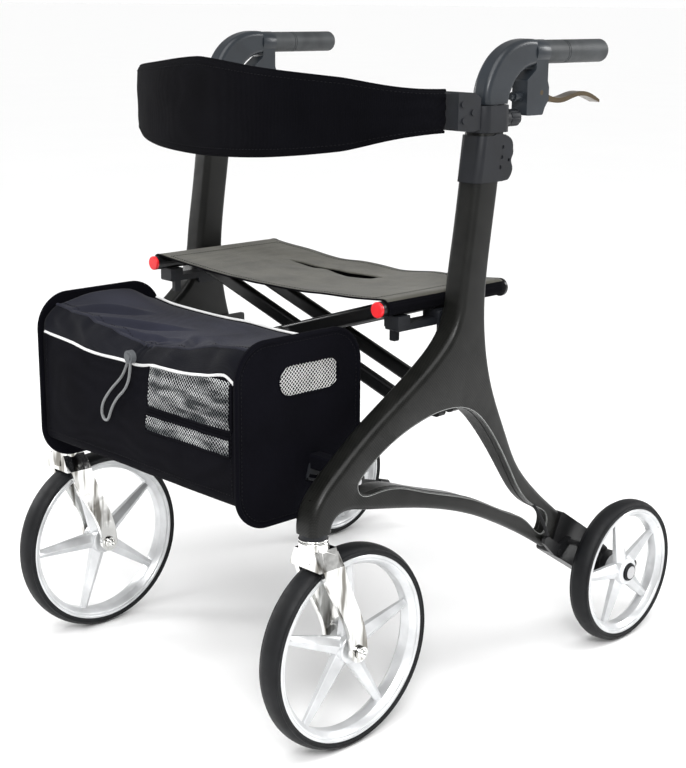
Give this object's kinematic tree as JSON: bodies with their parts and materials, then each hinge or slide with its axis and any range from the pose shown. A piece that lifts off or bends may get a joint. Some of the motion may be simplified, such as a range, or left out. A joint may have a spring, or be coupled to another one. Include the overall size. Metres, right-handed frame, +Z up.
{
  "type": "folding rollator walker",
  "caption": "Folding four-wheeled walking frame with moulded side frames, sling seat, backrest strap, front bag, swivelling front wheels and hand brakes.",
  "frame": {"origin": "on the floor under the middle of the walker", "axes": "+Z up, -Y the way it rolls, +X the user's left"},
  "size_m": [0.6216, 0.73, 0.8305],
  "materials": {
    "carbon": "satin",
    "black_moulding": "matte",
    "handle_shell": "satin",
    "grip_rubber": "matte",
    "lever_metal": "satin",
    "black_metal": "satin",
    "steel": "satin",
    "chrome": "polished",
    "rim_silver": "satin",
    "tyre": "matte",
    "red_cap": "gloss",
    "seat_cloth": "matte",
    "backrest_cloth": "matte",
    "bag_cloth": "matte",
    "bag_top_cloth": "matte",
    "cord": "matte",
    "cable_cover": "matte"
  },
  "bodies": {
    "left_frame": {"left_side_frame": "carbon", "left_column_cap": "black_moulding", "left_clamp_collar": "black_moulding", "left_backrest_bracket": "black_moulding", "left_rail_saddle": "black_moulding", "left_pivot_bracket": "black_metal", "left_rear_bracket": "black_metal", "left_rear_axle": "steel", "left_head_bearing": "black_moulding", "left_brake_cable": "cable_cover", "left_bag_panel": "bag_cloth", "backrest_strap": "backrest_cloth", "bag_shell": "bag_cloth", "bag_cover": "bag_top_cloth"},
    "left_knob": {"left_clamp_knob": "black_moulding"},
    "left_handle": {"left_handle_post": "handle_shell", "left_handle_grip": "grip_rubber", "left_brake_housing": "handle_shell"},
    "left_lever": {"left_brake_lever": "lever_metal"},
    "left_brake": {"left_brake_arm": "black_metal"},
    "left_caster": {"left_caster_fork": "chrome", "left_front_axle": "chrome"},
    "left_front_wheel": {"left_front_rim": "rim_silver", "left_front_tyre": "tyre"},
    "left_rear_wheel": {"left_rear_rim": "rim_silver", "left_rear_tyre": "tyre"},
    "right_frame": {"right_side_frame": "carbon", "right_column_cap": "black_moulding", "right_clamp_collar": "black_moulding", "right_backrest_bracket": "black_moulding", "right_rail_saddle": "black_moulding", "right_pivot_bracket": "black_metal", "right_rear_bracket": "black_metal", "right_rear_axle": "steel", "right_head_bearing": "black_moulding", "right_brake_cable": "cable_cover", "right_bag_panel": "bag_cloth"},
    "right_knob": {"right_clamp_knob": "black_moulding"},
    "right_handle": {"right_handle_post": "handle_shell", "right_handle_grip": "grip_rubber", "right_brake_housing": "handle_shell"},
    "right_lever": {"right_brake_lever": "lever_metal"},
    "right_brake": {"right_brake_arm": "black_metal"},
    "right_caster": {"right_caster_fork": "chrome", "right_front_axle": "chrome"},
    "right_front_wheel": {"right_front_rim": "rim_silver", "right_front_tyre": "tyre"},
    "right_rear_wheel": {"right_rear_rim": "rim_silver", "right_rear_tyre": "tyre"},
    "cross_a": {"cross_bars_a": "black_metal", "centre_pins": "steel", "right_seat_rail": "black_metal", "right_rail_cap": "red_cap", "seat_fabric": "seat_cloth"},
    "cross_b": {"cross_bars_b": "black_metal", "left_seat_rail": "black_metal", "left_rail_cap": "red_cap"},
    "bag_middle": {"cord_lock": "black_moulding", "drawcord": "cord"},
    "cord_lock_plunger": {"cord_lock_button": "black_moulding"}
  },
  "joints": [
    {"name": "fold", "type": "hinge", "parent": "left_frame", "child": "cross_a", "pos_m": [0.218, 0, 0.38], "axis": [0, 1, 0], "range_deg": [0, 60], "deforming": ["seat_fabric", "backrest_strap", "bag_shell", "bag_cover"]},
    {"name": "fold_centre", "type": "hinge", "parent": "cross_a", "child": "cross_b", "pos_m": [0, 0, 0.4495], "axis": [0, 1, 0], "range_deg": [-120, 0]},
    {"name": "fold_right", "type": "hinge", "parent": "cross_b", "child": "right_frame", "pos_m": [-0.218, 0, 0.38], "axis": [0, 1, 0], "range_deg": [0, 60]},
    {"name": "bag_gather", "type": "slide", "parent": "left_frame", "child": "bag_middle", "axis": [1, 0, 0], "range_m": [0, 0.1662]},
    {"name": "cord_lock_press", "type": "slide", "parent": "bag_middle", "child": "cord_lock_plunger", "axis": [0, 1, 0], "range_m": [0, 0.0012], "stiffness_N_per_m": 400},
    {"name": "left_handle_height", "type": "slide", "parent": "left_frame", "child": "left_handle", "axis": [0, 0.135, 0.9908], "range_m": [0, 0.12]},
    {"name": "left_knob_turn", "type": "hinge", "parent": "left_frame", "child": "left_knob", "pos_m": [0.2525, 0.027, 0.737], "axis": [0, 1, 0], "range_deg": [0, 360]},
    {"name": "left_lever_squeeze", "type": "hinge", "parent": "left_handle", "child": "left_lever", "pos_m": [0.2525, 0.079, 0.766], "axis": [1, 0, 0], "range_deg": [-14, 15], "stiffness_Nm_per_rad": 1.2},
    {"name": "left_brake_press", "type": "hinge", "parent": "left_frame", "child": "left_brake", "pos_m": [0.2525, 0.15, 0.15], "axis": [1, 0, 0], "range_deg": [-3, 3]},
    {"name": "left_caster_swivel", "type": "hinge", "parent": "left_frame", "child": "left_caster", "pos_m": [0.2525, -0.29, 0.283], "axis": [0, 0, 1], "continuous": true},
    {"name": "left_front_wheel_spin", "type": "hinge", "parent": "left_caster", "child": "left_front_wheel", "pos_m": [0.2525, -0.238, 0.127], "axis": [1, 0, 0], "continuous": true},
    {"name": "left_rear_wheel_spin", "type": "hinge", "parent": "left_frame", "child": "left_rear_wheel", "pos_m": [0.2918, 0.264, 0.101], "axis": [1, 0, 0], "continuous": true},
    {"name": "right_handle_height", "type": "slide", "parent": "right_frame", "child": "right_handle", "axis": [0, 0.135, 0.9908], "range_m": [0, 0.12]},
    {"name": "right_knob_turn", "type": "hinge", "parent": "right_frame", "child": "right_knob", "pos_m": [-0.2525, 0.027, 0.737], "axis": [0, 1, 0], "range_deg": [0, 360]},
    {"name": "right_lever_squeeze", "type": "hinge", "parent": "right_handle", "child": "right_lever", "pos_m": [-0.2525, 0.079, 0.766], "axis": [1, 0, 0], "range_deg": [-14, 15], "stiffness_Nm_per_rad": 1.2},
    {"name": "right_brake_press", "type": "hinge", "parent": "right_frame", "child": "right_brake", "pos_m": [-0.2525, 0.15, 0.15], "axis": [1, 0, 0], "range_deg": [-3, 3]},
    {"name": "right_caster_swivel", "type": "hinge", "parent": "right_frame", "child": "right_caster", "pos_m": [-0.2525, -0.29, 0.283], "axis": [0, 0, 1], "continuous": true},
    {"name": "right_front_wheel_spin", "type": "hinge", "parent": "right_caster", "child": "right_front_wheel", "pos_m": [-0.2525, -0.238, 0.127], "axis": [1, 0, 0], "continuous": true},
    {"name": "right_rear_wheel_spin", "type": "hinge", "parent": "right_frame", "child": "right_rear_wheel", "pos_m": [-0.2918, 0.264, 0.101], "axis": [1, 0, 0], "continuous": true}
  ],
  "couplings": [
    {"joint": "fold_centre", "follows": "fold", "ratio": -2},
    {"joint": "fold_right", "follows": "fold", "ratio": 1},
    {"joint": "bag_gather", "follows": "fold", "m_per_rad": 0.1587},
    {"joint": "left_brake_press", "follows": "left_lever_squeeze", "ratio": -0.18},
    {"joint": "right_brake_press", "follows": "right_lever_squeeze", "ratio": -0.18}
  ]
}
